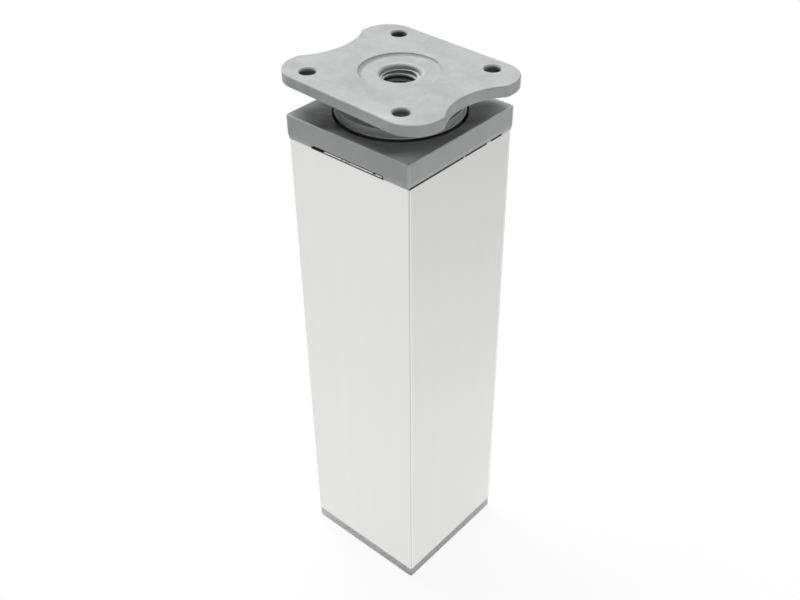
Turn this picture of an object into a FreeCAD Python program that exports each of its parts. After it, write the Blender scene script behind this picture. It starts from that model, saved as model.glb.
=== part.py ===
import FreeCAD, Part
import Sketcher
import math
import os
from FreeCAD import Vector

# Adjustable cabinet leg: a square tube with a foot cap below and a moulded collar above,
# a hand disc that turns a screw in the collar, and a fixing plate that the screw lifts.
# The origin is the middle of the foot's underside, +Z up, sizes in millimetres.

doc = FreeCAD.newDocument("cabinet_leg")
sheet = doc.addObject("Spreadsheet::Sheet", "dims")


class Size:
    """A number together with the sheet formula that gives it."""

    def __init__(self, number, text):
        self.number = number
        self.text = text

    def __add__(self, other):
        return Size(self.number + number_of(other), joined(self, "+", other))

    def __sub__(self, other):
        return Size(self.number - number_of(other), joined(self, "-", other))

    def __rsub__(self, other):
        return Size(number_of(other) - self.number, joined(other, "-", self))

    def __mul__(self, other):
        return Size(self.number * number_of(other), joined(self, "*", other))

    def __truediv__(self, other):
        return Size(self.number / number_of(other), joined(self, "/", other))

    def __neg__(self):
        return 0 - self


def number_of(value):
    return value.number if isinstance(value, Size) else float(value)


def text_of(value):
    return value.text if isinstance(value, Size) else "({})".format(value)


def joined(left, sign, right):
    return "({} {} {})".format(text_of(left), sign, text_of(right))


def size(alias, number, meaning, unit="mm"):
    """Write one driving size into the sheet and return it."""
    row = len(sheet.getUsedCells()) // 3 + 1
    sheet.set("A{}".format(row), meaning)
    sheet.set("B{}".format(row), str(number))
    sheet.set("C{}".format(row), unit)
    sheet.setAlias("B{}".format(row), alias)
    return Size(float(number), "dims." + alias)


# Square tube, drawn aluminium
tube_side = size("tube_side", 40.0, "tube, outside width")
tube_wall = size("tube_wall", 1.5, "tube, wall")
tube_corner = size("tube_corner", 0.4, "tube, outer corner radius")
tube_edge = size("tube_edge", 0.15, "tube, bevel of its sawn ends")
tube_length = size("tube_length", 137.5, "tube, cut length")

# Foot cap, moulded, pushed into the tube from below
foot_lip = size("foot_lip", 3.9, "foot cap, height that shows")
foot_inset = size("foot_inset", 0.05, "foot cap, set back from the tube's face")
foot_corner = size("foot_corner", 0.6, "foot cap, corner radius")
foot_edge = size("foot_edge", 0.9, "foot cap, rounding of the lower edge")
foot_plug = size("foot_plug", 16.0, "foot cap, depth of the plug in the tube")
foot_wall = size("foot_wall", 1.6, "foot cap, wall of the plug")
web_wall = size("web_wall", 1.4, "moulded cross webs, thickness")

# Plugs in the tube: a skirt with play, and crush ribs that take the play up
plug_play = size("plug_play", 0.25, "plug skirt to tube wall, each side")
press_gap = size("press_gap", 0.02, "crush rib to tube wall")
rib_width = size("rib_width", 1.2, "crush rib, width")
rib_pitch = size("rib_pitch", 12.0, "crush ribs, spacing on one side")
lead_in = size("lead_in", 1.2, "plug, bevel at its inner end")

# Collar, moulded, pushed into the tube from above
collar_overhang = size("collar_overhang", 0.33, "collar, proud of the tube's face")
collar_height = size("collar_height", 6.7, "collar, height that shows")
collar_corner = size("collar_corner", 0.5, "collar, corner radius")
collar_edge = size("collar_edge", 0.25, "collar, bevel of its upper edge")
collar_taper = size("collar_taper", 0.27, "collar, drawn in at its lower edge")
taper_height = size("taper_height", 1.4, "collar, height of the drawn-in band")
plug_wall = size("plug_wall", 1.5, "collar, wall of the plug")
opening_wall = size("opening_wall", 1.0, "collar, least wall round its opening")
well_depth = size("well_depth", 9.0, "collar, depth of the round opening")
deck_wall = size("deck_wall", 2.0, "collar, floor of the round opening")
bearing_wall = size("bearing_wall", 2.0, "collar, wall of the bearing tube")
thrust_wall = size("thrust_wall", 3.0, "collar, floor that carries the load")
plug_cover = size("plug_cover", 0.2, "collar, plug's end below the spigot")
notch_length = size("notch_length", 24.2, "collar, prising notch, length")
notch_height = size("notch_height", 0.95, "collar, prising notch, height")
seam_height = size("seam_height", 0.4, "collar, open seam on the side faces")
seam_near = size("seam_near", 0.53, "open seam, from the collar's front corner")
seam_far = size("seam_far", 4.23, "open seam, from the collar's rear corner")
nib_one = size("nib_one", 0.8, "first seat nib in the seam, from the middle")
nib_two = size("nib_two", 10.7, "second seat nib in the seam, from the middle")
nib_one_width = size("nib_one_width", 0.4, "first seat nib, width")
nib_two_width = size("nib_two_width", 1.6, "second seat nib, width")

# Hand disc, moulded over the head of the screw
disc_gap = size("disc_gap", 0.6, "disc, dark gap round it in the opening")
disc_thick = size("disc_thick", 2.2, "disc, thickness")
disc_lift = size("disc_lift", 0.4, "disc, above the top of the collar")
disc_edge = size("disc_edge", 0.2, "disc, bevel of its upper edge")
disc_lip = size("disc_lip", 0.2, "disc, lip at its lower edge, beyond the wall")
disc_lip_height = size("disc_lip_height", 0.35, "disc, height of the lip")
disc_lip_edge = size("disc_lip_edge", 0.1, "disc, bevel under the lip")
skirt_step = size("skirt_step", 1.1, "disc, skirt set in from the rim")
skirt_gap = size("skirt_gap", 2.9, "disc, skirt above the floor of the opening")
skirt_wall = size("skirt_wall", 1.5, "disc, wall of the skirt")
head_wall = size("head_wall", 1.25, "disc, plastic round the screw head's corners")
turning_play = size("turning_play", 0.05, "sleeve to bearing tube, radial")
spigot_dia = size("spigot_dia", 14.0, "disc, spigot through the load floor")
spigot_end = size("spigot_end", 1.6, "disc, spigot below the retaining ring")
disc_ribs = size("disc_ribs", 8, "disc, ribs between sleeve and skirt", "pieces")

# Screw, zinc-plated steel, metric 10 by 1.5
screw_dia = size("screw_dia", 10.0, "screw, outside of the thread")
screw_drop = size("screw_drop", 0.4, "screw, tip below the top of the disc")
screw_tip = size("screw_tip", 1.0, "screw, bevel at the tip")
head_flats = size("head_flats", 16.0, "screw head, across flats")
head_height = size("head_height", 6.4, "screw head, height")
head_roof = size("head_roof", 3.0, "plastic above the screw head")
head_cover = size("head_cover", 1.0, "plastic below the screw head")

# Thrust washer and retaining ring, steel
washer_thick = size("washer_thick", 1.0, "thrust washer, thickness")
washer_play = size("washer_play", 0.15, "thrust washer, radial play")
axial_play = size("axial_play", 0.05, "turning faces, axial play")
ring_thick = size("ring_thick", 1.0, "retaining ring, thickness")
ring_width = size("ring_width", 2.8, "retaining ring, radial width")
ring_bite = size("ring_bite", 0.7, "retaining ring, depth in its groove")
ring_mouth = size("ring_mouth", 5.0, "retaining ring, open mouth")

# Fixing plate, moulded, with its threaded hub
hole_pitch = size("hole_pitch", 32.0, "fixing holes, square pitch")
hole_dia = size("hole_dia", 4.2, "fixing holes, diameter")
hole_edge = size("hole_edge", 0.3, "fixing holes, bevel")
end_margin = size("end_margin", 9.1, "plate, hole centres to the scalloped ends")
side_margin = size("side_margin", 5.05, "plate, hole centres to the straight sides")
plate_thick = size("plate_thick", 3.0, "plate, thickness")
plate_corner = size("plate_corner", 8.0, "plate, corner radius")
plate_edge = size("plate_edge", 0.4, "plate, rounding of its upper edge")
plate_under_edge = size("plate_under_edge", 0.2, "plate, rounding of its lower edge")
scallop_radius = size("scallop_radius", 18.0, "plate, radius of the scallops")
scallop_depth = size("scallop_depth", 3.9, "plate, depth of the scallops")
scallop_lip = size("scallop_lip", 1.8, "plate, rounding where a scallop meets the end")
recess_dia = size("recess_dia", 20.8, "plate, round recess at the top")
recess_depth = size("recess_depth", 0.7, "plate, depth of the recess")
recess_slope = size("recess_slope", 1.0, "plate, width of the recess's sloped wall")
mouth_bevel = size("mouth_bevel", 0.9, "threaded bore, width of the bevel at its mouth")
mouth_depth = size("mouth_depth", 0.9, "threaded bore, depth of the bevel")
mouth_lip = size("mouth_lip", 0.5, "threaded bore, rounding where the bevel ends")
thread_play = size("thread_play", 0.05, "threaded bore to screw, radial")
hub_wall = size("hub_wall", 2.95, "hub under the plate, wall round the bore")
hub_length = size("hub_length", 22.0, "hub under the plate, length")
hub_root = size("hub_root", 1.0, "hub, rounding at the plate")
hub_play = size("hub_play", 0.5, "hub to the sleeve around it, radial")
hub_end_gap = size("hub_end_gap", 0.45, "hub to the sleeve's floor, plate lowered")
plate_rise = size("plate_rise", 5.0, "plate above the disc, as it stands here")
plate_turn = size("plate_turn", -3.03, "plate, turn about the upright axis", "degrees")

# Widths that the pieces share
tube_inside = tube_side - tube_wall * 2
plug_side = tube_inside - plug_play * 2
collar_side = tube_side + collar_overhang * 2
opening_dia = plug_side - opening_wall * 2
disc_dia = opening_dia - disc_gap * 2
skirt_dia = disc_dia - skirt_step * 2
bore_dia = screw_dia + thread_play * 2
hub_dia = bore_dia + hub_wall * 2
sleeve_bore = hub_dia + hub_play * 2
sleeve_dia = head_flats / math.cos(math.radians(30)) + head_wall * 2
bearing_dia = sleeve_dia + turning_play * 2
plate_length = hole_pitch + end_margin * 2
plate_width = hole_pitch + side_margin * 2

# Heights above the floor that the pieces share
collar_seat = foot_lip + tube_length
collar_top = collar_seat + collar_height
disc_bottom = collar_top + disc_lift
disc_top = disc_bottom + disc_thick
sleeve_floor = disc_top + axial_play - hub_length - hub_end_gap
head_seat = sleeve_floor - head_roof
thrust_face = head_seat - head_height - head_cover
washer_seat = thrust_face - axial_play - washer_thick
ring_seat = washer_seat - thrust_wall - axial_play - ring_thick
spigot_foot = ring_seat - spigot_end
plate_seat = disc_top + plate_rise

# How far a cutting outline runs past the solid that it cuts
overrun = 1.0


def bind(thing, place, value):
    """Tie one property of an object to the sheet."""
    thing.setExpression(place, text_of(value))


def body(label, height):
    """A new sub-part whose own zero lies at the given height."""
    piece = doc.addObject("PartDesign::Body", label)
    piece.Label = label
    bind(piece, "Placement.Base.z", height)
    return piece


def sketch(piece, role, name, height=0):
    """An empty sketch on one of the body's own planes, moved along the plane's normal."""
    plane = [f for f in piece.Origin.OriginFeatures if f.Role == role][0]
    drawing = piece.newObject("Sketcher::SketchObject", name)
    drawing.AttachmentSupport = [(plane, "")]
    drawing.MapMode = "FlatFace"
    if height != 0:
        bind(drawing, "AttachmentOffset.Base.z", height)
    return drawing


def locate(drawing, line, end, x, y):
    """Fix one point of a sketch at x, y from the sketch's zero."""
    for kind, axis, value in (("DistanceX", -2, x), ("DistanceY", -1, y)):
        if value == 0:
            drawing.addConstraint(Sketcher.Constraint("PointOnObject", line, end, axis))
            continue
        index = drawing.addConstraint(
            Sketcher.Constraint(kind, -1, 1, line, end, number_of(value))
        )
        bind(drawing, "Constraints[{}]".format(index), value)


def polygon(drawing, corners):
    """A closed outline through the given corners."""
    first = drawing.GeometryCount
    count = len(corners)
    spots = [Vector(number_of(x), number_of(y), 0) for x, y in corners]
    for i in range(count):
        drawing.addGeometry(Part.LineSegment(spots[i], spots[(i + 1) % count]), False)
    for i in range(count):
        drawing.addConstraint(
            Sketcher.Constraint("Coincident", first + i, 2, first + (i + 1) % count, 1)
        )
    for i, (x, y) in enumerate(corners):
        locate(drawing, first + i, 1, x, y)


def rectangle(drawing, x_low, x_high, y_low, y_high):
    """An upright rectangle between four limits."""
    polygon(drawing, [(x_low, y_low), (x_high, y_low), (x_high, y_high), (x_low, y_high)])


def square(drawing, side):
    """A square about the sketch's zero."""
    rectangle(drawing, -side / 2, side / 2, -side / 2, side / 2)


def circle(drawing, diameter, x=0, y=0):
    """A circle of the given diameter about x, y."""
    middle = Vector(number_of(x), number_of(y), 0)
    index = drawing.addGeometry(
        Part.Circle(middle, Vector(0, 0, 1), number_of(diameter) / 2), False
    )
    if x == 0 and y == 0:
        drawing.addConstraint(Sketcher.Constraint("Coincident", index, 3, -1, 1))
    else:
        locate(drawing, index, 3, x, y)
    rule = drawing.addConstraint(
        Sketcher.Constraint("Diameter", index, number_of(diameter))
    )
    bind(drawing, "Constraints[{}]".format(rule), diameter)


def raised(piece, drawing, length, name, downward=False):
    """Pad a sketch by a length."""
    pad = piece.newObject("PartDesign::Pad", name)
    pad.Profile = drawing
    pad.Reversed = downward
    bind(pad, "Length", length)
    doc.recompute()
    return pad


def sunk(piece, drawing, length, name, upward=False):
    """Pocket a sketch by a length; the solid has to get smaller."""
    before = piece.Shape.Volume
    pocket = piece.newObject("PartDesign::Pocket", name)
    pocket.Profile = drawing
    pocket.Reversed = upward
    bind(pocket, "Length", length)
    doc.recompute()
    if not piece.Shape.Volume < before - 0.001:
        raise RuntimeError(name + " cuts nothing")
    return pocket


def turned(piece, drawing, kind, name):
    """Revolve or groove a sketch about its upright axis."""
    before = piece.Shape.Volume if piece.Tip else 0.0
    feature = piece.newObject("PartDesign::" + kind, name)
    feature.Profile = drawing
    feature.ReferenceAxis = (drawing, ["V_Axis"])
    feature.Angle = 360
    doc.recompute()
    if kind == "Groove" and not piece.Shape.Volume < before - 0.001:
        raise RuntimeError(name + " cuts nothing")
    return feature


def around(piece, feature, count, name):
    """Repeat a feature evenly about the upright axis."""
    axis = [f for f in piece.Origin.OriginFeatures if f.Role == "Z_Axis"][0]
    pattern = piece.newObject("PartDesign::PolarPattern", name)
    pattern.Originals = [feature]
    pattern.Axis = (axis, [""])
    pattern.Angle = 360
    if isinstance(count, Size):
        bind(pattern, "Occurrences", count)
    else:
        pattern.Occurrences = count
    piece.Tip = pattern
    doc.recompute()
    return pattern


def dressed(piece, kind, test, amount, name):
    """Round or bevel the edges of a body that pass a test."""
    base = piece.Tip
    names = [
        "Edge{}".format(i + 1) for i, e in enumerate(base.Shape.Edges) if test(e)
    ]
    if not names:
        raise RuntimeError(name + " finds no edge")
    feature = piece.newObject("PartDesign::" + kind, name)
    feature.Base = (base, names)
    bind(feature, "Radius" if kind == "Fillet" else "Size", amount)
    doc.recompute()
    return feature


def near(a, b):
    return abs(a - number_of(b)) < 0.01


def spot(edge):
    """The middle of an edge's box."""
    return edge.BoundBox.Center


def upright(edge):
    """Whether an edge is straight and parallel to the upright axis."""
    box = edge.BoundBox
    return box.XLength < 0.01 and box.YLength < 0.01


def level(edge, height):
    """Whether an edge lies flat at a height."""
    return near(edge.BoundBox.ZMin, height) and near(edge.BoundBox.ZMax, height)


def crush_ribs(piece, low, high):
    """Three crush ribs on each side of a plug, from low to high."""
    drawing = sketch(piece, "XY_Plane", piece.Label + "_rib_outline", low)
    face = plug_side / 2
    for step in (-1, 0, 1):
        middle = rib_pitch * step
        rectangle(
            drawing,
            middle - rib_width / 2,
            middle + rib_width / 2,
            face - rib_width / 2,
            face + plug_play - press_gap,
        )
    pad = raised(piece, drawing, high - low, piece.Label + "_ribs")
    around(piece, pad, 4, piece.Label + "_ribs_around")


def cross_webs(piece, low, high, width):
    """Two webs that cross in the middle of a plug, from low to high."""
    for name, x, y in (("web_x", width, web_wall), ("web_y", web_wall, width)):
        drawing = sketch(piece, "XY_Plane", piece.Label + "_" + name, low)
        rectangle(drawing, -x / 2, x / 2, -y / 2, y / 2)
        raised(piece, drawing, high - low, piece.Label + "_" + name + "_pad")


def make_tube():
    """Square tube, its zero at its lower end."""
    tube = body("leg_tube", foot_lip)
    drawing = sketch(tube, "XY_Plane", "tube_outline")
    square(drawing, tube_side)
    raised(tube, drawing, tube_length, "tube_pad")
    dressed(tube, "Fillet", upright, tube_corner, "tube_corners")
    dressed(
        tube,
        "Chamfer",
        lambda e: level(e, 0) or level(e, tube_length),
        tube_edge,
        "tube_end_bevels",
    )
    drawing = sketch(tube, "XY_Plane", "tube_inside_outline")
    square(drawing, tube_inside)
    sunk(tube, drawing, tube_length, "tube_inside_cut", upward=True)
    return tube


def make_foot():
    """Foot cap: a lip under the tube and a ribbed, webbed plug inside it."""
    foot = body("foot_cap", 0)
    lip_side = tube_side - foot_inset * 2
    drawing = sketch(foot, "XY_Plane", "foot_outline")
    square(drawing, lip_side)
    raised(foot, drawing, foot_lip, "foot_pad")
    dressed(foot, "Fillet", upright, foot_corner, "foot_corners")
    dressed(foot, "Fillet", lambda e: level(e, 0), foot_edge, "foot_rounding")
    drawing = sketch(foot, "XY_Plane", "foot_plug_outline", foot_lip)
    square(drawing, plug_side)
    raised(foot, drawing, foot_plug, "foot_plug_pad")
    top = foot_lip + foot_plug
    dressed(foot, "Chamfer", lambda e: level(e, top), lead_in, "foot_lead_in")
    drawing = sketch(foot, "XY_Plane", "foot_hollow_outline", foot_lip)
    square(drawing, plug_side - foot_wall * 2)
    sunk(foot, drawing, foot_plug, "foot_hollow", upward=True)
    cross_webs(foot, foot_lip, top - lead_in, plug_side - foot_wall)
    crush_ribs(foot, foot_lip, top - lead_in * 2)
    return foot


def make_collar():
    """Collar and bearing in one moulding, its zero at its seat on the tube."""
    collar = body("top_collar", collar_seat)
    half = collar_side / 2
    plug_depth = collar_seat - spigot_foot + plug_cover
    drawing = sketch(collar, "XY_Plane", "collar_outline")
    square(drawing, collar_side)
    raised(collar, drawing, collar_height, "collar_pad")
    dressed(collar, "Fillet", upright, collar_corner, "collar_corners")
    dressed(
        collar,
        "Chamfer",
        lambda e: level(e, collar_height),
        collar_edge,
        "collar_bevel",
    )
    band = dressed(
        collar, "Chamfer", lambda e: level(e, 0), taper_height, "collar_band"
    )
    band.ChamferType = "Two distances"
    bind(band, "Size2", collar_taper)
    doc.recompute()

    drawing = sketch(collar, "XY_Plane", "plug_outline")
    square(drawing, plug_side)
    raised(collar, drawing, plug_depth, "plug_pad", downward=True)
    low = -plug_depth
    dressed(collar, "Chamfer", lambda e: level(e, low), lead_in, "plug_lead_in")

    bearing_outside = bearing_dia + bearing_wall * 2
    deck_under = collar_height - well_depth - deck_wall
    drawing = sketch(collar, "XY_Plane", "coring_outline", low)
    square(drawing, plug_side - plug_wall * 2)
    circle(drawing, bearing_outside)
    sunk(collar, drawing, deck_under - low, "coring", upward=True)
    cross_webs(collar, low + lead_in, deck_under, plug_side - plug_wall)
    crush_ribs(collar, low + lead_in * 2, -collar_edge)

    load_floor = washer_seat - collar_seat
    load_under = load_floor - thrust_wall
    drawing = sketch(collar, "XY_Plane", "ring_room_outline", low)
    circle(drawing, bearing_outside)
    sunk(collar, drawing, load_under - low, "ring_room", upward=True)
    for name, diameter, bottom in (
        ("opening", opening_dia, collar_height - well_depth),
        ("bearing_bore", bearing_dia, load_floor),
        ("spigot_bore", spigot_dia + turning_play * 2, load_under),
    ):
        drawing = sketch(collar, "XY_Plane", name + "_outline", collar_height)
        circle(drawing, diameter)
        sunk(collar, drawing, collar_height - bottom, name)

    seat_step = half - plug_side / 2
    for name, upward in (("notch_front", True), ("notch_back", False)):
        side = 1 if upward else -1
        drawing = sketch(collar, "XZ_Plane", name + "_outline", plug_side / 2 * side)
        rectangle(drawing, -notch_length / 2, notch_length / 2, 0, notch_height)
        sunk(collar, drawing, seat_step, name, upward)
    spans = (
        (seam_near - half, nib_one - nib_one_width / 2),
        (nib_one + nib_one_width / 2, nib_two - nib_two_width / 2),
        (nib_two + nib_two_width / 2, half - seam_far),
    )
    for name, upward in (("seam_right", True), ("seam_left", False)):
        side = 1 if upward else -1
        drawing = sketch(collar, "YZ_Plane", name + "_outline", plug_side / 2 * side)
        for start, stop in spans:
            rectangle(drawing, start, stop, 0, seam_height)
        sunk(collar, drawing, seat_step, name, upward)
    return collar


def make_washer():
    """Thrust washer on the collar's load floor, round the spigot."""
    washer = body("thrust_washer", washer_seat)
    drawing = sketch(washer, "XY_Plane", "washer_outline")
    circle(drawing, bearing_dia - washer_play * 2)
    circle(drawing, spigot_dia + washer_play * 2)
    raised(washer, drawing, washer_thick, "washer_pad")
    return washer


def make_disc():
    """Hand disc with its skirt, sleeve, floor and spigot, its zero at the thrust face."""
    disc = body("adjusting_disc", thrust_face)
    top = disc_top - thrust_face
    under = disc_bottom - thrust_face
    floor = sleeve_floor - thrust_face
    skirt_depth = well_depth + disc_lift - skirt_gap
    skirt = under - skirt_depth
    groove_high = ring_seat + ring_thick + axial_play - thrust_face
    groove_low = ring_seat - thrust_face
    tail = spigot_foot - thrust_face
    spigot = spigot_dia / 2
    waist = spigot - ring_bite
    rim = disc_dia / 2
    wall = rim - disc_lip
    root_room = hub_root + hub_play
    drawing = sketch(disc, "XZ_Plane", "disc_section")
    polygon(
        drawing,
        [
            (0, tail),
            (spigot, tail),
            (spigot, groove_low),
            (waist, groove_low),
            (waist, groove_high),
            (spigot, groove_high),
            (spigot, 0),
            (sleeve_dia / 2, 0),
            (sleeve_dia / 2, under),
            (skirt_dia / 2 - skirt_wall, under),
            (skirt_dia / 2 - skirt_wall, skirt),
            (skirt_dia / 2, skirt),
            (skirt_dia / 2, under),
            (rim - disc_lip_edge, under),
            (rim, under + disc_lip_edge),
            (rim, under + disc_lip_height),
            (wall, under + disc_lip_height + disc_lip),
            (wall, top - disc_edge),
            (wall - disc_edge, top),
            (sleeve_bore / 2 + root_room, top),
            (sleeve_bore / 2, top - root_room),
            (sleeve_bore / 2, floor),
            (0, floor),
        ],
    )
    turned(disc, drawing, "Revolution", "disc_turning")
    drawing = sketch(disc, "XY_Plane", "disc_rib_outline", skirt)
    rectangle(
        drawing,
        sleeve_dia / 2 - skirt_wall / 2,
        skirt_dia / 2 - skirt_wall / 2,
        -skirt_wall / 2,
        skirt_wall / 2,
    )
    rib = raised(disc, drawing, skirt_depth, "disc_rib")
    around(disc, rib, disc_ribs, "disc_ribs_around")
    drawing = sketch(disc, "XY_Plane", "head_room_outline", head_cover)
    hexagon(drawing, head_flats)
    sunk(disc, drawing, head_height, "head_room", upward=True)
    drawing = sketch(disc, "XY_Plane", "shank_room_outline", head_cover + head_height)
    circle(drawing, screw_dia)
    sunk(disc, drawing, head_roof, "shank_room", upward=True)
    return disc


def hexagon(drawing, flats):
    """A hexagon about the sketch's zero, by its width across flats."""
    half = flats / 2
    side = half * math.tan(math.radians(30))
    corners = [
        (-side, -half),
        (side, -half),
        (side * 2, 0),
        (side, half),
        (-side, half),
        (-side * 2, 0),
    ]
    polygon(drawing, corners)


def make_screw():
    """Hexagon-head screw, its zero under the head, shank upwards."""
    screw = body("lift_screw", head_seat)
    screw_length = disc_top - screw_drop - head_seat
    drawing = sketch(screw, "XY_Plane", "head_outline")
    hexagon(drawing, head_flats)
    raised(screw, drawing, head_height, "head_pad", downward=True)
    drawing = sketch(screw, "XY_Plane", "shank_outline")
    circle(drawing, screw_dia)
    raised(screw, drawing, screw_length, "shank_pad")
    dressed(
        screw,
        "Chamfer",
        lambda e: level(e, screw_length),
        screw_tip,
        "screw_tip_bevel",
    )
    return screw


def make_ring():
    """Open retaining ring in the spigot's groove, below the load floor."""
    ring = body("retaining_ring", ring_seat)
    inside = spigot_dia / 2 - ring_bite
    drawing = sketch(ring, "XY_Plane", "ring_outline")
    circle(drawing, (inside + ring_width) * 2)
    circle(drawing, inside * 2)
    raised(ring, drawing, ring_thick, "ring_pad")
    drawing = sketch(ring, "XY_Plane", "ring_mouth_outline")
    rectangle(drawing, -ring_mouth / 2, ring_mouth / 2, 0, inside + ring_width * 2)
    sunk(ring, drawing, ring_thick, "ring_mouth_cut", upward=True)
    return ring


def make_plate():
    """Fixing plate and hub, its zero at the plate's underside."""
    plate = body("mounting_plate", plate_seat)
    plate.Placement.Rotation = FreeCAD.Rotation(Vector(0, 0, 1), number_of(plate_turn))
    bind(plate, "Placement.Rotation.Angle", plate_turn)
    drawing = sketch(plate, "XY_Plane", "plate_outline")
    end, flank = plate_length / 2, plate_width / 2
    rectangle(drawing, -end, end, -flank, flank)
    raised(plate, drawing, plate_thick, "plate_pad")
    dressed(plate, "Fillet", upright, plate_corner, "plate_corners")
    drawing = sketch(plate, "XY_Plane", "scallop_outline")
    middle = end - scallop_depth + scallop_radius
    circle(drawing, scallop_radius * 2, middle, 0)
    circle(drawing, scallop_radius * 2, -middle, 0)
    sunk(plate, drawing, plate_thick, "scallops", upward=True)

    def on_scallop(edge):
        across = abs(spot(edge).x) - number_of(middle)
        return near(math.hypot(across, spot(edge).y), scallop_radius)

    dressed(
        plate,
        "Fillet",
        lambda e: upright(e) and on_scallop(e),
        scallop_lip,
        "scallop_lips",
    )

    drawing = sketch(plate, "XY_Plane", "hub_outline")
    circle(drawing, hub_dia)
    raised(plate, drawing, hub_length, "hub_pad", downward=True)
    dressed(
        plate,
        "Fillet",
        lambda e: level(e, 0) and near(e.BoundBox.XLength, hub_dia),
        hub_root,
        "hub_rounding",
    )
    root_dia = hub_dia + hub_root * 2
    dressed(
        plate,
        "Fillet",
        lambda e: level(e, 0) and not near(e.BoundBox.XLength, root_dia),
        plate_under_edge,
        "plate_under_rounding",
    )
    dressed(
        plate, "Fillet", lambda e: level(e, plate_thick), plate_edge, "plate_rounding"
    )

    drawing = sketch(plate, "XY_Plane", "fixing_hole_outline")
    circle(drawing, hole_dia, hole_pitch / 2, hole_pitch / 2)
    hole = sunk(plate, drawing, plate_thick, "fixing_hole", upward=True)
    around(plate, hole, 4, "fixing_holes")
    dressed(
        plate,
        "Chamfer",
        lambda e: level(e, plate_thick) and near(e.BoundBox.XLength, hole_dia),
        hole_edge,
        "fixing_hole_bevels",
    )

    recess_floor = plate_thick - recess_depth
    bore = bore_dia / 2
    drawing = sketch(plate, "XZ_Plane", "bore_section")
    polygon(
        drawing,
        [
            (0, -hub_length - overrun),
            (bore + screw_tip, -hub_length - overrun),
            (bore + screw_tip, -hub_length),
            (bore, -hub_length + screw_tip),
            (bore, recess_floor - mouth_depth),
            (bore + mouth_bevel, recess_floor),
            (recess_dia / 2 - recess_slope, recess_floor),
            (recess_dia / 2, plate_thick),
            (recess_dia / 2, plate_thick + overrun),
            (0, plate_thick + overrun),
        ],
    )
    turned(plate, drawing, "Groove", "bore_and_recess")
    mouth_dia = (bore + mouth_bevel) * 2
    dressed(
        plate,
        "Fillet",
        lambda e: level(e, recess_floor) and near(e.BoundBox.XLength, mouth_dia),
        mouth_lip,
        "mouth_rounding",
    )
    return plate


pieces = [
    make_tube(),
    make_foot(),
    make_collar(),
    make_washer(),
    make_disc(),
    make_screw(),
    make_ring(),
    make_plate(),
]
doc.recompute()

for thing in doc.Objects:
    if "Invalid" in thing.State or "Error" in thing.State:
        raise RuntimeError("failed object: " + thing.Label)
for piece in pieces:
    if piece.Shape.isNull() or not piece.Shape.isValid() or len(piece.Shape.Solids) != 1:
        raise RuntimeError("bad solid: " + piece.Label)

os.makedirs("parts", exist_ok=True)
for piece in pieces:
    piece.Shape.exportStep("parts/" + piece.Label + ".step")
    box = piece.Shape.BoundBox
    print(
        "{}: {:.0f} mm3, z {:.2f} to {:.2f}".format(
            piece.Label, piece.Shape.Volume, box.ZMin, box.ZMax
        )
    )
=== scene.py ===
import math
import bmesh
import bpy
import numpy as np
from mathutils import Matrix, Vector


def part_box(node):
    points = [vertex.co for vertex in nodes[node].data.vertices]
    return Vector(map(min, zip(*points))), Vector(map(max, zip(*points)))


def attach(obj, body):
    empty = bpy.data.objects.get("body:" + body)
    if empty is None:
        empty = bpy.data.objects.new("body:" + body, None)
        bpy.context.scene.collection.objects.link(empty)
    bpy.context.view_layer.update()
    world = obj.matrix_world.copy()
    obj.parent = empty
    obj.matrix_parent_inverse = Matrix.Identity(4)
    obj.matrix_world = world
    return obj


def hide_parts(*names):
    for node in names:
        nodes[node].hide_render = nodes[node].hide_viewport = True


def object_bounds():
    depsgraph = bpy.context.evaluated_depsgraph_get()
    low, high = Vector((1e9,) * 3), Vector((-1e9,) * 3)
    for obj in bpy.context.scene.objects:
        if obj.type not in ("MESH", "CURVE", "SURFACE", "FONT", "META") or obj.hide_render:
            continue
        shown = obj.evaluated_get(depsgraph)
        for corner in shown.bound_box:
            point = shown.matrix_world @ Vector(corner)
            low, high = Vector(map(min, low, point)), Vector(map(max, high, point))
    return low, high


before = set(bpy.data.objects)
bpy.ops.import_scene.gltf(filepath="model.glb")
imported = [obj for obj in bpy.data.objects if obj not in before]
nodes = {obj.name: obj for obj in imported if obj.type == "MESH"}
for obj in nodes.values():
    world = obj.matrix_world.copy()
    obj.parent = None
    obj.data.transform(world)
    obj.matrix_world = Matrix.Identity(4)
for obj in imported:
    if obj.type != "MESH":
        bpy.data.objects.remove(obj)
cad_low, cad_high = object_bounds()

# The camera stands above the leg's front corner. Its place, turn and lens are those that
# lay the leg's edges and screw holes over the photograph's, on a frame of 800 by 600.
camera_azimuth = math.radians(41.733)
camera_elevation = math.radians(36.931)
camera_roll = math.radians(-0.756)
camera_distance = 0.29578
camera_target = Vector((-0.000974, -0.000017, 0.087831))
camera_lens = 46.492
sensor_width = 36.0
camera_near = 0.003


def away_from(azimuth, elevation):
    """Unit vector towards an azimuth, counted from -Y towards +X, and an elevation."""
    flat = math.cos(elevation)
    return Vector(
        (math.sin(azimuth) * flat, -math.cos(azimuth) * flat, math.sin(elevation))
    )


def place_camera():
    """The camera looks back along its own direction from the target, rolled about that line."""
    backward = away_from(camera_azimuth, camera_elevation)
    level = Vector((math.cos(camera_azimuth), math.sin(camera_azimuth), 0))
    upward = backward.cross(level)
    right = level * math.cos(camera_roll) + upward * math.sin(camera_roll)
    up = upward * math.cos(camera_roll) - level * math.sin(camera_roll)
    data = bpy.data.cameras.new("photo_camera")
    data.lens = camera_lens
    data.sensor_width = sensor_width
    data.clip_start = camera_near
    camera = bpy.data.objects.new("photo_camera", data)
    camera.matrix_world = Matrix.Translation(
        camera_target + backward * camera_distance
    ) @ Matrix((right, up, backward)).transposed().to_4x4()
    bpy.context.scene.collection.objects.link(camera)
    bpy.context.scene.camera = camera


place_camera()
bpy.context.scene.view_settings.view_transform = "Standard"


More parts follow.
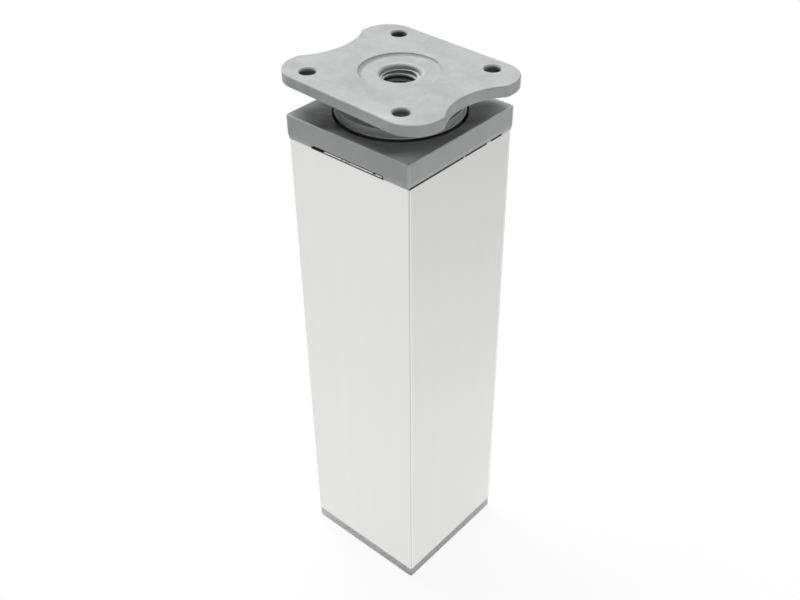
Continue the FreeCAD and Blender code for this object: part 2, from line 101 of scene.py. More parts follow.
# The studio is a wide white floor in a white room. The main soft lamps stand high behind the
# leg, and a weak low one on the right isn't mirrored in it. The floor keeps the leg's shadow.
floor_reach = 4.0
floor_drop = 0.00005
floor_paint = (0.90, 0.90, 0.90, 1)
floor_share = 0.92
floor_fade = 0.585
floor_fade_x = 0.33
floor_fade_y = 0.12
floor_least = 0.60
room_light = 0.01
soft_edge = 0.00005
# Each lamp has a name, azimuth, elevation, distance, side and power, and the last word says
# whether the leg mirrors it.
panels = (
    ("high_left", 270, 52, 6.0, 3.4, 224.0, True),
    ("high_back", 225, 68, 6.0, 3.4, 220.0, True),
    ("low_right", 80, 6, 6.0, 1.2, 58.0, False),
)


class Wire:
    """One output of a shader node. Arithmetic on it adds Math nodes."""

    def __init__(self, finish, socket):
        self.finish = finish
        self.socket = socket

    def maths(self, operation, *others):
        settings = {"operation": operation}
        return self.finish.node("ShaderNodeMath", settings, dict(enumerate((self, *others))))

    def __add__(self, other):
        return self.maths("ADD", other)

    def __sub__(self, other):
        return self.maths("SUBTRACT", other)

    def __mul__(self, other):
        return self.maths("MULTIPLY", other)

    def __rsub__(self, other):
        return self.maths("MULTIPLY_ADD", -1.0, other)

    __radd__ = __add__
    __rmul__ = __mul__


class Finish:
    """The shader nodes of one material."""

    def __init__(self, name, tree=None):
        if tree is None:
            self.material = bpy.data.materials.new(name)
            self.material.use_nodes = True
            tree = self.material.node_tree
        self.tree = tree

    def plug(self, made, sockets):
        """Give each named socket of a node its value or its link."""
        for key, value in sockets.items():
            if isinstance(value, Wire):
                self.tree.links.new(value.socket, made.inputs[key])
            else:
                made.inputs[key].default_value = value

    def node(self, kind, settings=None, sockets=None, output=0):
        """Add a node: first its settings, then its sockets. The answer is one output."""
        made = self.tree.nodes.new(kind)
        for key, value in (settings or {}).items():
            setattr(made, key, value)
        self.plug(made, sockets or {})
        return Wire(self, made.outputs[output])

    def place(self):
        """The point on the object, in the leg's own frame."""
        return self.node("ShaderNodeTexCoord", output="Object")

    def vector(self, operation, *values, output=0):
        """Arithmetic on points."""
        return self.node(
            "ShaderNodeVectorMath", {"operation": operation}, dict(enumerate(values)), output
        )

    def axis(self, place, name):
        """One coordinate of a point."""
        return self.node("ShaderNodeSeparateXYZ", None, {"Vector": place}, name)

    def blend(self, share, first, second):
        """A colour between two colours."""
        settings = {"data_type": "RGBA"}
        return self.node("ShaderNodeMix", settings, {0: share, 6: first, 7: second}, 2)

    def smooth(self, value, low, high, start=0.0, stop=1.0):
        """A smooth step from start to stop while a value goes from low to high."""
        settings = {"interpolation_type": "SMOOTHSTEP"}
        sockets = {0: value, 1: low, 2: high, 3: start, 4: stop}
        return self.node("ShaderNodeMapRange", settings, sockets)

    def noise(self, place, scale, detail=2.0, roughness=0.5):
        """Cloudy noise of about 0 to 1 at a place."""
        sockets = {
            "Vector": place,
            "Scale": scale,
            "Detail": detail,
            "Roughness": roughness,
        }
        return self.node("ShaderNodeTexNoise", None, sockets)

    def drawn(self, place, scales, detail, roughness=0.6):
        """Noise that is drawn out: each axis has its own scale."""
        sockets = {"Vector": place, "Scale": scales}
        stretched = self.node("ShaderNodeMapping", None, sockets)
        return self.noise(stretched, 1.0, detail, roughness)

    def patches(self, place, scale, detail, roughness, low, high):
        """Patches of noise: 0 where it is under low, and 1 where it is over high."""
        return self.smooth(self.noise(place, scale, detail, roughness), low, high)

    def between(self, value, low, high, edge=soft_edge):
        """1 while a value lies between low and high, with a soft edge."""
        up = self.smooth(value, low - edge, low + edge)
        return up - self.smooth(value, high - edge, high + edge)

    def relief(self, height):
        """Normals of a skin whose height is given in metres."""
        sockets = {"Strength": 1.0, "Distance": 1.0, "Height": height}
        return self.node("ShaderNodeBump", None, sockets, "Normal")

    def skin(self, **sockets):
        """Plug the principled shader, whose socket names are written with underscores."""
        shader = [n for n in self.tree.nodes if n.type == "BSDF_PRINCIPLED"][0]
        self.plug(shader, {k.replace("_", " "): v for k, v in sockets.items()})
        return self.material

    def end(self, kind, shader):
        """Join the last shader to the output."""
        output = [n for n in self.tree.nodes if n.type == kind][0]
        self.tree.links.new(shader.socket, output.inputs["Surface"])


def rays(finish, *kinds):
    """1 for rays of the given kinds, else 0."""
    wires = [finish.node("ShaderNodeLightPath", output=kind) for kind in kinds]
    total = wires[0]
    for wire in wires[1:]:
        total = total + wire
    return total


def make_floor():
    """A flat square just under the foot. It is painted white, and seen straight it is pure
    white; seen in the metal, it darkens slowly away from the foot, most towards +X."""
    reach = floor_reach
    corners = [(-reach, -reach), (reach, -reach), (reach, reach), (-reach, reach)]
    mesh = bpy.data.meshes.new("studio_floor")
    mesh.from_pydata([(x, y, -floor_drop) for x, y in corners], [], [(0, 1, 2, 3)])
    floor = bpy.data.objects.new("studio_floor", mesh)
    bpy.context.scene.collection.objects.link(floor)
    finish = Finish("studio_floor")
    place = finish.place()
    away = finish.vector("LENGTH", place, output="Value")
    lean = finish.axis(place, "X") * floor_fade_x + finish.axis(place, "Y") * floor_fade_y
    fade = (1.0 - away * floor_fade - lean).maths("MAXIMUM", floor_least)
    straight = rays(finish, "Is Camera Ray")
    mirrored = rays(finish, "Is Glossy Ray", "Is Transmission Ray")
    paint = finish.node("ShaderNodeBsdfDiffuse", None, {"Color": floor_paint})
    glow = finish.node("ShaderNodeEmission", None, {"Color": straight + mirrored * fade})
    share = (straight + mirrored) * floor_share
    finish.end(
        "OUTPUT_MATERIAL",
        finish.node("ShaderNodeMixShader", None, {0: share, 1: paint, 2: glow}),
    )
    finish.material.cycles.emission_sampling = "NONE"
    floor.data.materials.append(finish.material)


def make_room():
    """The room lights the leg a little from all round, and shows as plain white."""
    world = bpy.data.worlds.new("studio_room")
    world.use_nodes = True
    world.cycles.sampling_method = "NONE"
    bpy.context.scene.world = world
    finish = Finish("studio_room", world.node_tree)
    seen = rays(finish, "Is Camera Ray", "Is Glossy Ray", "Is Transmission Ray")
    strength = room_light + seen * (1 - room_light)
    sockets = {"Color": (1, 1, 1, 1), "Strength": strength}
    finish.end("OUTPUT_WORLD", finish.node("ShaderNodeBackground", None, sockets))


def make_panel(name, azimuth, elevation, distance, side, power, mirrored):
    """A square soft lamp that faces the middle of the leg, and shows in its gloss or not."""
    data = bpy.data.lights.new(name, "AREA")
    data.size = side
    data.energy = power
    lamp = bpy.data.objects.new(name, data)
    backward = away_from(math.radians(azimuth), math.radians(elevation))
    lamp.location = (cad_low + cad_high) / 2 + backward * distance
    lamp.rotation_euler = backward.to_track_quat("Z", "Y").to_euler()
    lamp.visible_glossy = mirrored
    bpy.context.scene.collection.objects.link(lamp)


make_floor()
make_room()
for panel in panels:
    make_panel(*panel)


# The tube is extruded aluminium, 40 mm square with a 1.5 mm wall. Its faces are brushed
# lengthways and anodised to a pale satin silver, and its ends are sawn square and deburred.
tube_colour = (0.815, 0.815, 0.803, 1)
tube_streak = (0.775, 0.775, 0.766, 1)
tube_roughness = 0.38
brush_lines = ((5200.0, 5200.0, 26.0), 3.0)
brush_line_share = 0.35
brush_bands = ((420.0, 420.0, 4.0), 2.0)
brush_band_share = 0.65
brush_matt = 0.10
brush_height = 0.0000010
noise_middle = 0.5
# A painted dark reflection line and a painted highlight run beside each upright corner.
corner_dark_reflection = (0.60, 0.60, 0.595, 1)
corner_dark_reflection_stop = 0.00035
corner_highlight = (0.92, 0.92, 0.915, 1)
corner_highlight_stop = 0.000875
sawn_colour = (0.90, 0.90, 0.89, 1)
sawn_roughness = 0.50
sawn_start = 0.000045
sawn_stop = 0.000015
saw_lines = ((2600.0, 130.0, 1.0), 2.0)
saw_height = 0.0000060
# Painted shade lies on the tube's upper end where the collar leaves it open in the seams and
# notches.
open_end_shade = (0.020, 0.020, 0.020, 1)
open_start = 0.00030
open_stop = 0.00024
tube_half = 0.020
wall_start = 0.0180
wall_stop = 0.0190
deburr = 0.00015
notch_half = 0.0121
burr_start = -0.0080
burr_stop = 0.0113
burr_near = 0.00015
burr_far = 0.00065
burr_slope = 1.2
burr_breaks = (700.0, 3.0, 0.5, 0.34, 0.44)
seam_spans = ((-0.0198, 0.0006), (0.0010, 0.0099), (0.0115, 0.0161))


def satin_aluminium():
    """Anodised metal with lines drawn along the leg, and a painted dark reflection line and a
    painted highlight beside each corner. Its ends are bare and rough, and painted with shade
    where the collar leaves them open."""
    finish = Finish("satin_aluminium")
    place = finish.place()
    lines = finish.drawn(place, *brush_lines)
    bands = finish.drawn(place, *brush_bands)
    saw = finish.drawn(place, *saw_lines)
    x, y = (finish.axis(place, name).maths("ABSOLUTE") for name in "XY")
    low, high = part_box("leg_tube")
    reach = (high.z - low.z) / 2
    from_middle = (finish.axis(place, "Z") - (low.z + high.z) / 2).maths("ABSOLUTE")
    bare = finish.smooth(from_middle, reach - sawn_start, reach - sawn_stop)
    streaks = lines * brush_line_share + bands * brush_band_share
    colour = finish.blend(streaks, tube_colour, tube_streak)
    beside = x - y
    # Painted dark reflection and painted highlight beside the corners.
    dark = finish.between(beside, 0.0, corner_dark_reflection_stop)
    bright = finish.between(beside, corner_dark_reflection_stop, corner_highlight_stop)
    colour = finish.blend(dark, colour, corner_dark_reflection)
    colour = finish.blend(bright, colour, corner_highlight)
    colour = finish.blend(bare, colour, sawn_colour)
    painted_end_shade, burr = shade_open_ends(finish, place, x, y, high.z)
    height = lines * brush_height * (1.0 - bare) + saw * saw_height * bare + burr
    rough = tube_roughness + (lines - noise_middle) * brush_matt
    return finish.skin(
        Base_Color=finish.blend(painted_end_shade, colour, open_end_shade),
        Metallic=1.0 - painted_end_shade,
        Roughness=rough + bare * (sawn_roughness - tube_roughness),
        Normal=finish.relief(height),
    )


def shade_open_ends(finish, place, x, y, top):
    """Where the tube's upper end lies open under the collar it is painted with shade: all of it
    in the seams on the side faces, and the rest of the notches beside the burr the saw left. The
    answer is the painted shade's share and the burr's height in metres."""
    along = finish.axis(place, "Y")
    seams = sum(finish.between(along, start, stop) for start, stop in seam_spans)
    seams = seams * finish.smooth(x, wall_start, wall_stop)
    notch = 1.0 - finish.smooth(x, notch_half, notch_half + deburr)
    notch = notch * finish.smooth(y, wall_start, wall_stop)
    burr = finish.between(finish.axis(place, "X"), burr_start, burr_stop) * finish.between(
        y, tube_half - burr_far, tube_half - burr_near
    )
    burr = burr * finish.patches(place, *burr_breaks)
    end = finish.smooth(finish.axis(place, "Z"), top - open_start, top - open_stop)
    painted_end_shade = end * (seams + notch * (1.0 - burr)).maths("MINIMUM", 1.0)
    return painted_end_shade, end * notch * burr * (tube_half - y) * burr_slope


def cover(node, material):
    """Give a carried-over solid its finish."""
    nodes[node].data.materials.clear()
    nodes[node].data.materials.append(material)


cover("leg_tube", satin_aluminium())


# The foot cap is moulded in pale grey plastic and pressed into the tube from below. Its sole
# is rubbed paler where it slides on the floor.
plastic_grey = (0.480, 0.492, 0.489, 1)
plastic_pale = (0.510, 0.522, 0.518, 1)
# The paler grey serves both wear and painted highlights.
plastic_wear_and_highlight = (0.78, 0.79, 0.785, 1)
plastic_dark = (0.030, 0.031, 0.031, 1)
plastic_roughness = 0.34
plastic_shine = 0.25
plastic_grain = (2600.0, 2.0, 0.6)
grain_height = 0.0000030
grain_matt = 0.12
paler_matt = 0.15
flow_clouds = (95.0, 4.0, 0.6, 0.3, 0.7)
sole_high = 0.0006
sole_patches = (140.0, 5.0, 0.7, 0.42, 0.62)
sole_wear = 0.000004
foot_grey = (0.81, 0.82, 0.815, 1)
foot_pale = (0.84, 0.85, 0.845, 1)
foot_rubbed = (0.90, 0.90, 0.895, 1)


def moulded(name, marks, grey=plastic_grey, pale=plastic_pale, wear_and_highlight=plastic_wear_and_highlight):
    """Moulded plastic with a fine matt grain and soft flow clouds in its grey. The marks give
    how far the skin is paler, from wear or a painted highlight, and how dark it is, from stains
    or painted shade, from 0 to 1, and its height in metres."""
    finish = Finish(name)
    place = finish.place()
    clouds = finish.patches(place, *flow_clouds)
    grain = finish.noise(place, *plastic_grain)
    paler, dark, raised = marks(finish, place)
    colour = finish.blend(paler, finish.blend(clouds, grey, pale), wear_and_highlight)
    rough = plastic_roughness + (grain - noise_middle) * grain_matt
    return finish.skin(
        Base_Color=finish.blend(dark, colour, plastic_dark),
        Roughness=rough + paler * paler_matt,
        Specular_IOR_Level=plastic_shine,
        Normal=finish.relief(grain * grain_height + raised),
    )


def sole_marks(finish, place):
    """The sole is rubbed in patches up to where its edge turns up."""
    low = 1.0 - finish.smooth(finish.axis(place, "Z"), 0.0, sole_high)
    paler = low * finish.patches(place, *sole_patches)
    return paler, 0.0, paler * -sole_wear


cover("foot_cap", moulded("foot_plastic", sole_marks, foot_grey, foot_pale, foot_rubbed))


# The collar is one grey moulding with the bearing for the screw. It is pressed into the tube
# from above. Its upper edges carry a painted highlight and its upright corners are paler.
# Handling has left soft scuffs on its deck, and painted shade of the plate darkens the deck
# round the disc.
collar_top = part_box("top_collar")[1].z
collar_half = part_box("top_collar")[1].x
edge_width = 0.00025
edge_skin = 0.000025
# The upper edges are painted pale as a highlight.
edge_highlight = 1.0
deck_skin = 0.00005
corner_width = 0.0004
corner_pale = 0.3
# Painted shade of the plate on the deck round the disc, strongest in a band across the deck.
deck_shade_share = 0.47
deck_shade_inner = 0.0170
deck_shade_outer = 0.0255
plate_shadow_share = 0.89
plate_shadow_inner = 0.0210
plate_shadow_outer = 0.0300
plate_shadow_start = -0.0035
plate_shadow_stop = 0.0145
plate_shadow_edge = 0.0040
scuff_pale = 0.12
scuff_turn = (0.0, 0.0, 0.6)
scuff_lines = ((420.0, 90.0, 420.0), 4.0)
scuff_low = 0.55
scuff_high = 0.75
scuff_clean = 0.5
scuff_height = 0.0000005


def from_axis(finish, place):
    """How far a point is from the upright axis."""
    flat = finish.vector("MULTIPLY", place, (1.0, 1.0, 0.0))
    return finish.vector("LENGTH", flat, output="Value")


def collar_marks(finish, place):
    """Upper edges painted pale as a highlight, paler upright corners, and soft scuffs on the
    deck, long in one direction. Painted shade of the plate lies on the deck round the disc,
    strongest where two of its sides are sheltered."""
    height = finish.axis(place, "Z")
    lean = finish.axis(place, "X") - finish.axis(place, "Y")
    x, y = (finish.axis(place, name).maths("ABSOLUTE") for name in "XY")
    outward = x.maths("MAXIMUM", y)
    rim = finish.smooth(outward, collar_half - edge_width * 2, collar_half - edge_width)
    edge = rim * finish.between(height, collar_top - edge_width, collar_top - edge_skin)
    corner_reach = collar_half * 2 - corner_width
    corner = finish.smooth(x + y, corner_reach - corner_width, corner_reach)
    deck = finish.smooth(height, collar_top - deck_skin, collar_top)
    mapping = {"Vector": place, "Rotation": scuff_turn}
    aslant = finish.node("ShaderNodeMapping", None, mapping)
    scuffs = finish.smooth(finish.drawn(aslant, *scuff_lines), scuff_low, scuff_high)
    wear_and_highlight = (edge * edge_highlight).maths("MAXIMUM", corner * corner_pale)
    away = from_axis(finish, place)
    # Painted shade of the plate on the deck round the disc.
    deck_shade = finish.smooth(away, deck_shade_inner, deck_shade_outer, deck_shade_share, 0.0)
    plate_shadow = finish.smooth(away, plate_shadow_inner, plate_shadow_outer, plate_shadow_share, 0.0)
    plate_shadow = plate_shadow * finish.between(lean, plate_shadow_start, plate_shadow_stop, plate_shadow_edge)
    deck_shade = deck_shade.maths("MAXIMUM", plate_shadow) * deck * (1.0 - scuffs * scuff_clean)
    return wear_and_highlight + scuffs * deck * scuff_pale, deck_shade, scuffs * deck * scuff_height


cover("top_collar", moulded("collar_plastic", collar_marks))


# The thrust washer is stamped from zinc-plated steel. The retaining ring below it is black
# phosphated spring steel, opened to slip over the spigot.
zinc_colour = (0.62, 0.62, 0.60, 1)
zinc_cloud = (0.54, 0.55, 0.55, 1)
zinc_roughness = 0.30
phosphate_colour = (0.060, 0.060, 0.058, 1)
phosphate_cloud = (0.095, 0.092, 0.088, 1)
phosphate_roughness = 0.48
steel_crystals = (900.0, 4.0, 0.6)
crystal_matt = 0.16
crystal_height = 0.000002
steel_clouds = (160.0, 3.0, 0.5, 0.35, 0.65)
cloud_matt = 0.06
end_dark_colour = (0.10, 0.10, 0.095, 1)
end_matt = 0.30
end_dark_edge = 0.0002
above_all = 1.0


def plated(name, bright, dull, roughness, dark_from=above_all):
    """Plated or phosphated steel: crystals in the colour and in the gloss. Above a height it is
    dark and matt."""
    finish = Finish(name)
    place = finish.place()
    crystals = finish.noise(place, *steel_crystals)
    clouds = finish.patches(place, *steel_clouds)
    height = finish.axis(place, "Z")
    darkened = finish.smooth(height, dark_from - end_dark_edge, dark_from)
    rough = roughness + (crystals - noise_middle) * crystal_matt + clouds * cloud_matt
    return finish.skin(
        Base_Color=finish.blend(darkened, finish.blend(clouds, bright, dull), end_dark_colour),
        Metallic=1.0,
        Roughness=rough + darkened * end_matt,
        Normal=finish.relief(crystals * crystal_height),
    )


cover("thrust_washer", plated("zinc_plate", zinc_colour, zinc_cloud, zinc_roughness))
cover(
    "retaining_ring",
    plated("phosphate", phosphate_colour, phosphate_cloud, phosphate_roughness),
)


# The screw is a zinc-plated M10 hexagon screw with a rolled thread. Its head sits in the disc,
# and its shank stands up in the plate's hub, where its end is darker and matt.
thread_pitch = 0.0015
flank_angle = math.radians(30)
crest_height = 0.00125
screw_crest = 0.00495
screw_root = 0.00410
screw_crest_flat = 0.125
tip_radius = 0.00400
head_height = 0.0064
head_half = 0.008
head_bevel_radius = 0.0076
head_bevel_angle = math.radians(30)
neck_length = 0.0005
share_digits = 9
weld_distance = 0.000001
weld_thinnest = 0.0000001
round_steps = 96
round_angles = np.arange(round_steps + 1) / round_steps * math.tau


def turned(radii, heights, angles=round_angles):
    """A surface round the upright axis: x is the radius times the cosine of the angle, y the
    radius times its sine, and z the height."""
    return np.stack(
        np.broadcast_arrays(radii * np.cos(angles), radii * np.sin(angles), heights), -1
    )


def lathe(outline):
    """A surface of revolution through rings, each a radius and a height. Either may be an
    array over the angles."""
    radii, heights = (
        np.stack([np.broadcast_to(ring[i], round_angles.shape) for ring in outline])
        for i in (0, 1)
    )
    return turned(radii, heights)


def helix(crest, root, crest_flat, low, high, crest_height, limit):
    """A screw surface. One pitch's outline, a flat crest, a straight flank each side and a
    flat root, is carried round the axis and rises one pitch a turn. A crest lies over +X at
    the crest height. The outline is cut off level at low and high, and a flat ring runs from
    the cut to the root's radius. The limit then holds each radius at its height."""
    step = thread_pitch / round_steps
    fall = abs(crest - root) * math.tan(flank_angle) / thread_pitch
    knots = np.array([0, crest_flat / 2, crest_flat / 2 + fall])
    knots = np.concatenate((knots, 1 - knots[::-1]))
    shares = np.sort(np.concatenate((knots, (knots[1:-1] + knots[:-2]) / 2)))
    turn = np.arange(round((high - low) / step) + round_steps + 1)[:, None]
    base = low - thread_pitch + turn * step
    share = np.clip(shares, (low - base) / thread_pitch, (high - base) / thread_pitch)
    share = np.round(share, share_digits)
    radius = np.interp(share, knots, [crest, crest, root, root, crest, crest], root, root)
    height = base + share * thread_pitch
    first = np.where(base < low - step / 2, root, radius[:, :1])
    last = np.where(base + thread_pitch > high + step / 2, root, radius[:, -1:])
    radius = np.concatenate((first, radius, last), 1)
    height = np.concatenate((height[:, :1], height, height[:, -1:]), 1)
    over_x = round((crest_height - low) / step)
    return turned(limit(radius, height), height, (turn - over_x) / round_steps * math.tau)


def whole_steps(length):
    """The longest run of whole steps of the thread's rise within a length."""
    step = thread_pitch / round_steps
    return math.floor(length / step) * step


def welded(name, grids, material, body):
    """One mesh from several grids of points, welded where they meet, with faces outwards."""
    shape = bmesh.new()
    for grid in grids:
        rows, columns = grid.shape[:2]
        index = np.arange(rows * columns).reshape(rows, columns)
        faces = np.stack(
            (index[:-1, :-1], index[:-1, 1:], index[1:, 1:], index[1:, :-1]), -1
        ).reshape(-1, 4)
        part = bpy.data.meshes.new(name + "_part")
        part.from_pydata(grid.reshape(-1, 3).tolist(), [], faces.tolist())
        shape.from_mesh(part)
        bpy.data.meshes.remove(part)
    bmesh.ops.remove_doubles(shape, verts=shape.verts, dist=weld_distance)
    bmesh.ops.dissolve_degenerate(shape, edges=shape.edges, dist=weld_thinnest)
    bmesh.ops.recalc_face_normals(shape, faces=shape.faces)
    mesh = bpy.data.meshes.new(name)
    shape.to_mesh(mesh)
    shape.free()
    mesh.shade_smooth()
    mesh.set_sharp_from_angle(angle=flank_angle)
    mesh.materials.append(material)
    piece = bpy.data.objects.new(name, mesh)
    bpy.context.scene.collection.objects.link(piece)
    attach(piece, body)
    return piece


def make_screw():
    """Head, thread and flat tip. The thread fades into the neck and is bevelled at the tip."""
    low, high = (corner.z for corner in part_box("lift_screw"))
    head_top = low + head_height
    thread_low = high - whole_steps(high - head_top - neck_length)
    hexagon = head_half / np.cos(round_angles % (math.pi / 3) - math.pi / 6)
    head = lathe(
        [
            (0.0, low),
            (head_bevel_radius, low),
            (hexagon, low + (hexagon - head_bevel_radius) * math.tan(head_bevel_angle)),
            (hexagon, head_top),
            (screw_root, head_top),
            (screw_root, thread_low),
        ]
    )

    def within(radius, height):
        fade = screw_root + (height - thread_low)
        return np.minimum(np.minimum(radius, fade), tip_radius + (high - height))

    thread = helix(
        screw_crest, screw_root, screw_crest_flat, thread_low, high, crest_height, within
    )
    tip = lathe([(tip_radius, high), (0.0, high)])
    steel = plated("zinc_screw", zinc_colour, zinc_cloud, zinc_roughness, high)
    screw = welded("threaded_screw", [head, thread, tip], steel, "spindle")
    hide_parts("lift_screw")


make_screw()


# The disc is moulded over the screw's head, in the same grey plastic as the collar. The hand
# turns it by its rim, which has gone slightly pale in patches. The rim's edges carry a painted
# highlight, and the rest is darkened with painted shade from the plate.
disc_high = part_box("adjusting_disc")[1].z
# The rim's upper and lower edges are painted pale as a highlight.
rim_low = 0.1485
rim_radius = 0.0164
rim_edge = 0.00010
lip_height = 0.00030
rim_pale = 0.12
rim_patches = (300.0, 4.0, 0.7, 0.4, 0.7)
# Painted shade from the plate over the disc.
disc_shade = 0.24


def rim_marks(finish, place):
    """The rim's upper and lower edges are painted bright as a highlight and its wall is rubbed
    pale in patches. The rest is darkened with painted shade from the plate."""
    height = finish.axis(place, "Z")
    away = from_axis(finish, place)
    rim = finish.smooth(away, rim_radius - rim_edge * 2, rim_radius - rim_edge)
    edges = finish.between(height, rim_low, rim_low + lip_height) + finish.between(
        height, disc_high - rim_edge, disc_high + rim_edge
    )
    edges = edges * rim
    paler = rim * finish.patches(place, *rim_patches) * rim_pale
    return edges + paler, (1.0 - edges) * disc_shade, 0.0


cover("adjusting_disc", moulded("disc_plastic", rim_marks))


# The plate and its hub are one grey moulding, screwed to the cabinet through four holes.
# Its hub has a moulded thread with a rounded mouth, which shows in the bore.
plate_low, plate_high = (corner.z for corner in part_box("mounting_plate"))
plate_turn = math.radians(-3.03)
plate_edge = 0.0004
plate_edge_skin = 0.00002
# The face's rounded edge is painted pale as a highlight in front and dark as shade behind.
plate_edge_highlight = 0.6
front_start = -0.015
front_stop = -0.019
plate_edge_shade = 0.30
back_start = 0.0105
back_stop = 0.0180
face_clouds = (75.0, 3.0, 0.6, 0.35, 0.7)
cloud_pale = 0.12
face_patches = (330.0, 5.0, 0.7, 0.45, 0.75)
patch_pale = 0.21
face_specks = (1600.0, 2.0, 0.5, 0.68, 0.76)
speck_pale = 0.25
face_stains = (120.0, 4.0, 0.65, 0.35, 0.70)
stain_dark = 0.15
recess_radius = 0.0104
recess_slope = 0.001
recess_depth = 0.0007
recess_hollow = 0.6
recess_foot = recess_radius - recess_slope
recess_floor = plate_high - recess_depth
# Painted shade on the recess's sloping wall and its upper edge, on the far side.
slope_shade = 0.18
slope_line = 0.00010
slope_line_shade = 0.50
slope_side = Vector((-0.84, 0.54, 0))
slope_start = -0.001
slope_stop = 0.004
# Painted highlights on the wall's foot and the bore's lip, on the far side.
foot_line = 0.00020
foot_line_highlight = 0.25
hole_radius = 0.0021
hole_half_pitch = 0.016
hole_inner = 0.0022
hole_outer = 0.0024
hole_high = 0.0004
hole_low = 0.0012
# Painted shade inside the screw holes.
hole_shade = 0.80
hub_crest = 0.00419
hub_root = 0.00500
hub_crest_flat = 0.25
hub_crest_height = crest_height - thread_pitch / 2
hub_bevel = 0.001
bore_radius = 0.00505
wall_skin = 0.0001
# Painted shade in the thread's grooves deep in the bore, and a painted highlight on its crests
# and ledge.
groove_radius = 0.0045
groove_blur = 0.0002
groove_high = 0.0017
groove_low = 0.0024
groove_shade = 0.85
crest_inner = 0.00470
crest_outer = 0.00500
mouth_depth = 0.0009
mouth_drop = 0.00155
ledge_drop = 0.00128
ledge_radius = 0.00460
ledge_edge = 0.00004
ledge_slope = 0.00016
lip_radius = 0.00615
lip_steps = 12
lip_proud = 0.000004
# Painted highlight on the bore's lip.
lip_inner = 0.00570
lip_outer = 0.00605
lip_blur = 0.0001
lip_start = -0.0010
lip_stop = 0.0040
lip_highlight = 0.45
scratch_pale = 0.35
# Each scratch has a start and a stop on the face, a width and a depth.
scratches = (
    ((0.0114, -0.02065), (0.0141, -0.0213), 0.00030, 0.000030),
    ((0.0141, -0.0213), (0.0146, -0.0199), 0.00025, 0.000020),
    ((0.0091, -0.0206), (0.0100, -0.0205), 0.00020, 0.000015),
)


def scratch(finish, place, start, stop, width):
    """1 along a short straight line on the plate's face, falling to 0 at its width."""
    start = Vector((*start, plate_high))
    along = Vector((*stop, plate_high)) - start
    apart = finish.vector("SUBTRACT", place, start)
    share = finish.vector("DOT_PRODUCT", apart, along / along.length_squared, output="Value")
    share = finish.node("ShaderNodeClamp", None, {"Value": share})
    nearest = finish.node(
        "ShaderNodeVectorMath", {"operation": "SCALE"}, {0: along, "Scale": share}
    )
    away = finish.vector("DISTANCE", apart, nearest, output="Value")
    return 1.0 - finish.smooth(away, 0.0, width)


def recess_marks(finish, place, away):
    """The recess's sloping wall is hollowed, and it and its upper edge are darkened with painted
    shade on the far side. There the wall's foot and the bore's lip carry a painted highlight.
    The answer is how pale and how dark they are, and the height in metres."""
    wall = finish.node("ShaderNodeMapRange", None, {0: away, 1: recess_foot, 2: recess_radius})
    hollow = wall * (wall - 1.0) * recess_depth * recess_hollow
    slope = finish.between(away, recess_foot, recess_radius)
    line = finish.between(away, recess_radius - slope_line, recess_radius + slope_line)
    lee = finish.vector("DOT_PRODUCT", place, slope_side, output="Value")
    painted_slope_shade = slope * slope_shade + line * slope_line_shade
    painted_slope_shade = painted_slope_shade * finish.smooth(lee, slope_start, slope_stop)
    lip = finish.between(away, lip_inner, lip_outer, lip_blur)
    foot = finish.between(away, recess_foot - foot_line, recess_foot)
    highlight_rings = lip * lip_highlight + foot * foot_line_highlight
    highlight_rings = highlight_rings * finish.smooth(finish.axis(place, "Y"), lip_start, lip_stop)
    return highlight_rings, painted_slope_shade, hollow


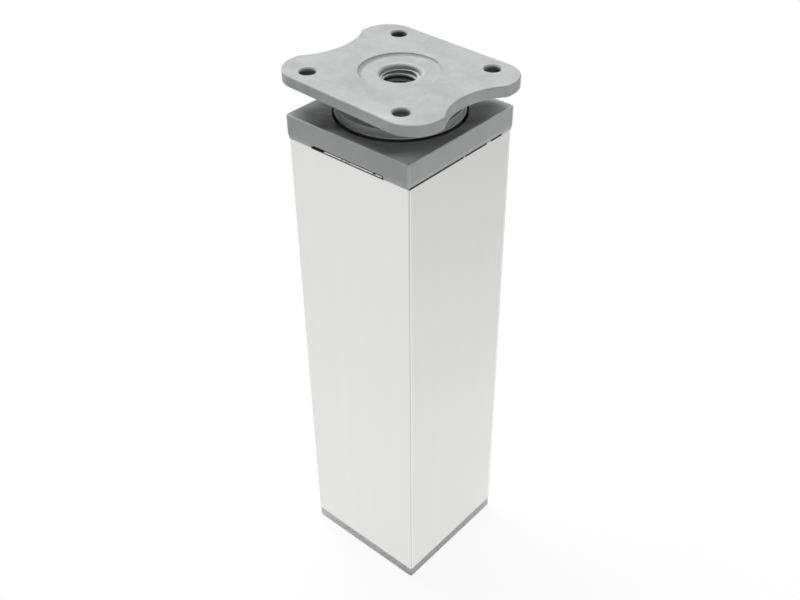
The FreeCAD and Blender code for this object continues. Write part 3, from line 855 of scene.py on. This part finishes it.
def plate_marks(finish, place):
    """Faint wear and stains on the face, and a few short scratches beside the front screw hole.
    The face's edge has a painted highlight in front and painted shade behind. The holes and the
    thread's grooves are darkened inside with painted shade, and the thread's crests and ledge
    carry a painted highlight."""
    height = finish.axis(place, "Z")
    along = finish.axis(place, "Y")
    away = from_axis(finish, place)
    highlight_rings, painted_slope_shade, relief = recess_marks(finish, place, away)
    mapping = {"Vector": place, "Rotation": (0, 0, -plate_turn)}
    square = finish.node("ShaderNodeMapping", None, mapping)
    quarter = finish.vector("ABSOLUTE", square)
    spot = finish.vector("SUBTRACT", quarter, (hole_half_pitch, hole_half_pitch, 0))
    off = from_axis(finish, spot)
    hole = 1.0 - finish.smooth(off, hole_inner, hole_outer)
    hole = hole * finish.smooth(height, plate_high - hole_high, plate_high - hole_low)
    deep = finish.smooth(height, recess_floor - groove_high, recess_floor - groove_low)
    groove = deep * finish.between(away, groove_radius, bore_radius + wall_skin, groove_blur)
    edge = finish.between(height, plate_high - plate_edge, plate_high - plate_edge_skin)
    edge = edge * finish.smooth(off, hole_radius + plate_edge, hole_radius + plate_edge * 2)
    edge = edge * finish.smooth(away, recess_radius, recess_radius + plate_edge)
    front = edge * finish.smooth(along, front_start, front_stop)
    back = edge * finish.smooth(along, back_start, back_stop)
    wear_and_highlight = front * plate_edge_highlight + highlight_rings
    wear_and_highlight = wear_and_highlight + finish.patches(place, *face_clouds) * cloud_pale
    wear_and_highlight = wear_and_highlight + finish.patches(place, *face_patches) * patch_pale
    wear_and_highlight = wear_and_highlight + finish.patches(place, *face_specks) * speck_pale
    # Painted highlight on the thread's crests and ledge.
    lit_crests = 1.0 - finish.smooth(away, crest_inner, crest_outer)
    wear_and_highlight = wear_and_highlight + lit_crests
    for start, stop, width, depth in scratches:
        cut = scratch(finish, place, start, stop, width)
        relief = relief - cut * depth
        wear_and_highlight = wear_and_highlight + cut * scratch_pale
    dark = finish.patches(place, *face_stains) * stain_dark
    # Painted shade in the holes, the thread's grooves, behind the face's edge and on the
    # recess's far side, with the stains.
    for share in (hole * hole_shade, groove * groove_shade, back * plate_edge_shade, painted_slope_shade):
        dark = dark.maths("MAXIMUM", share)
    return wear_and_highlight.maths("MINIMUM", 1.0), dark, relief


def make_hub_thread():
    """The thread of the hub with its mouth. A narrow ledge lies over the thread. The mouth's
    wall turns out from it to the recess's floor along a quarter of an ellipse, and a thin
    skin inside the hub closes the piece."""
    thread_high = recess_floor - mouth_drop
    low = plate_low + hub_bevel
    thread_low = thread_high - whole_steps(thread_high - low)

    def within(radius, height):
        return np.maximum(radius, bore_radius - (height - thread_low))

    ridges = helix(
        hub_crest,
        hub_root,
        hub_crest_flat,
        thread_low,
        thread_high,
        hub_crest_height,
        within,
    )
    rounding = np.arange(lip_steps + 1) / lip_steps * math.pi / 2
    lip = list(
        zip(
            lip_radius - (lip_radius - hub_root) * np.cos(rounding),
            recess_floor + lip_proud - mouth_depth * (1 - np.sin(rounding)),
        )
    )
    ledge_high = recess_floor - ledge_drop
    ledge = [
        (hub_root, thread_high),
        (ledge_radius, thread_high + ledge_slope),
        (ledge_radius, ledge_high - ledge_edge),
        (ledge_radius + ledge_edge, ledge_high),
        (hub_root, ledge_high),
    ]
    cone_low = recess_floor - mouth_depth
    outside = bore_radius + wall_skin
    skin = lathe(
        ledge
        + lip
        + [
            (lip_radius + wall_skin, recess_floor - wall_skin),
            (outside, cone_low - wall_skin),
            (outside, thread_low),
            (bore_radius, thread_low),
        ]
    )
    welded("hub_thread", [ridges, skin], plate_plastic, "plate")


plate_plastic = moulded("plate_plastic", plate_marks)
cover("mounting_plate", plate_plastic)
make_hub_thread()
